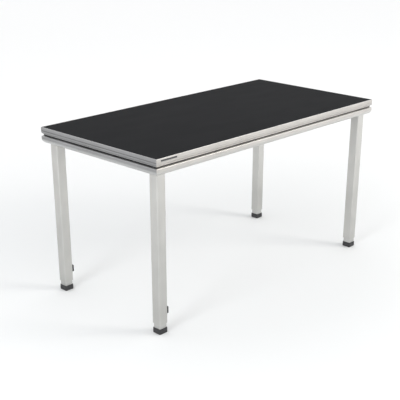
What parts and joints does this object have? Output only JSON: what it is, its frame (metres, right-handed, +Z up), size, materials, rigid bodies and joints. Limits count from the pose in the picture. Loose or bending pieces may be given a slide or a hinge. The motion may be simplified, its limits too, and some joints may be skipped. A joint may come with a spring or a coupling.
{
  "type": "folding-leg table",
  "caption": "Rectangular table with a black laminate top, a grooved aluminium edge frame and square legs that fold in under the top.",
  "frame": {"origin": "on the floor, under the centre of the top", "axes": "+Z up, X along the long side, Y along the short side; the two legs at the -X end carry the fold buffers"},
  "size_m": [1.4, 0.7, 0.74],
  "materials": {
    "anodised_frame": "satin",
    "anodised_leg": "satin",
    "anodised_sleeve": "satin",
    "cast_aluminium": "tumbled casting",
    "rivet_aluminium": "plain",
    "zinc_steel": "zinc plated",
    "black_laminate": "fine-textured laminate",
    "brown_backer": "phenolic film",
    "plywood": "cut edge",
    "black_strip": "matt",
    "blank_plate": "satin",
    "black_plastic": "moulded",
    "black_rubber": "moulded"
  },
  "bodies": {
    "table_top": {"rail_front": "anodised_frame", "rail_back": "anodised_frame", "rail_left": "anodised_frame", "rail_right": "anodised_frame", "groove_strip_front": "black_strip", "groove_strip_back": "black_strip", "groove_strip_left": "black_strip", "groove_strip_right": "black_strip", "name_plate": "blank_plate", "deck_laminate": "black_laminate", "deck_core": "plywood", "deck_backer": "brown_backer", "frame_screws": "zinc_steel", "deck_screws": "zinc_steel", "pivot_bolts": "zinc_steel", "pivot_washers": "zinc_steel", "corner_cleat_front_left": "cast_aluminium", "corner_cleat_front_right": "cast_aluminium", "corner_cleat_back_left": "cast_aluminium", "corner_cleat_back_right": "cast_aluminium", "hinge_bracket_front_left": "cast_aluminium", "hinge_bracket_front_right": "cast_aluminium", "hinge_bracket_back_left": "cast_aluminium", "hinge_bracket_back_right": "cast_aluminium"},
    "leg_front_left": {"leg_tube_front_left": "anodised_leg", "leg_head_front_left": "black_plastic", "leg_head_rivets_front_left": "rivet_aluminium", "fold_buffer_front_left": "black_rubber", "buffer_screws_front_left": "zinc_steel"},
    "foot_front_left": {"foot_sleeve_front_left": "anodised_sleeve", "foot_wedge_front_left": "cast_aluminium", "foot_bolt_front_left": "zinc_steel", "foot_cap_front_left": "black_rubber"},
    "knob_front_left": {"clamp_knob_front_left": "black_plastic"},
    "leg_front_right": {"leg_tube_front_right": "anodised_leg", "leg_head_front_right": "black_plastic", "leg_head_rivets_front_right": "rivet_aluminium"},
    "foot_front_right": {"foot_sleeve_front_right": "anodised_sleeve", "foot_wedge_front_right": "cast_aluminium", "foot_bolt_front_right": "zinc_steel", "foot_cap_front_right": "black_rubber"},
    "knob_front_right": {"clamp_knob_front_right": "black_plastic"},
    "leg_back_left": {"leg_tube_back_left": "anodised_leg", "leg_head_back_left": "black_plastic", "leg_head_rivets_back_left": "rivet_aluminium", "fold_buffer_back_left": "black_rubber", "buffer_screws_back_left": "zinc_steel"},
    "foot_back_left": {"foot_sleeve_back_left": "anodised_sleeve", "foot_wedge_back_left": "cast_aluminium", "foot_bolt_back_left": "zinc_steel", "foot_cap_back_left": "black_rubber"},
    "knob_back_left": {"clamp_knob_back_left": "black_plastic"},
    "leg_back_right": {"leg_tube_back_right": "anodised_leg", "leg_head_back_right": "black_plastic", "leg_head_rivets_back_right": "rivet_aluminium"},
    "foot_back_right": {"foot_sleeve_back_right": "anodised_sleeve", "foot_wedge_back_right": "cast_aluminium", "foot_bolt_back_right": "zinc_steel", "foot_cap_back_right": "black_rubber"},
    "knob_back_right": {"clamp_knob_back_right": "black_plastic"}
  },
  "joints": [
    {"name": "leg_fold_front_left", "type": "hinge", "parent": "table_top", "child": "leg_front_left", "pos_m": [-0.653, -0.303, 0.688], "axis": [0, -1, 0], "range_deg": [0, 90]},
    {"name": "leg_fold_front_right", "type": "hinge", "parent": "table_top", "child": "leg_front_right", "pos_m": [0.653, -0.303, 0.688], "axis": [0, 1, 0], "range_deg": [0, 85]},
    {"name": "leg_fold_back_left", "type": "hinge", "parent": "table_top", "child": "leg_back_left", "pos_m": [-0.653, 0.303, 0.688], "axis": [0, -1, 0], "range_deg": [0, 90]},
    {"name": "leg_fold_back_right", "type": "hinge", "parent": "table_top", "child": "leg_back_right", "pos_m": [0.653, 0.303, 0.688], "axis": [0, 1, 0], "range_deg": [0, 85]},
    {"name": "foot_height_front_left", "type": "slide", "parent": "leg_front_left", "child": "foot_front_left", "axis": [0, 0, -1], "range_m": [-0.015, 0.025]},
    {"name": "foot_height_front_right", "type": "slide", "parent": "leg_front_right", "child": "foot_front_right", "axis": [0, 0, -1], "range_m": [-0.015, 0.025]},
    {"name": "foot_height_back_left", "type": "slide", "parent": "leg_back_left", "child": "foot_back_left", "axis": [0, 0, -1], "range_m": [-0.015, 0.025]},
    {"name": "foot_height_back_right", "type": "slide", "parent": "leg_back_right", "child": "foot_back_right", "axis": [0, 0, -1], "range_m": [-0.015, 0.025]},
    {"name": "knob_turn_front_left", "type": "hinge", "parent": "table_top", "child": "knob_front_left", "pos_m": [-0.653, -0.263, 0.688], "axis": [0, 1, 0], "range_deg": [0, 360]},
    {"name": "knob_turn_front_right", "type": "hinge", "parent": "table_top", "child": "knob_front_right", "pos_m": [0.653, -0.263, 0.688], "axis": [0, 1, 0], "range_deg": [0, 360]},
    {"name": "knob_turn_back_left", "type": "hinge", "parent": "table_top", "child": "knob_back_left", "pos_m": [-0.653, 0.263, 0.688], "axis": [0, -1, 0], "range_deg": [0, 360]},
    {"name": "knob_turn_back_right", "type": "hinge", "parent": "table_top", "child": "knob_back_right", "pos_m": [0.653, 0.263, 0.688], "axis": [0, -1, 0], "range_deg": [0, 360]}
  ]
}
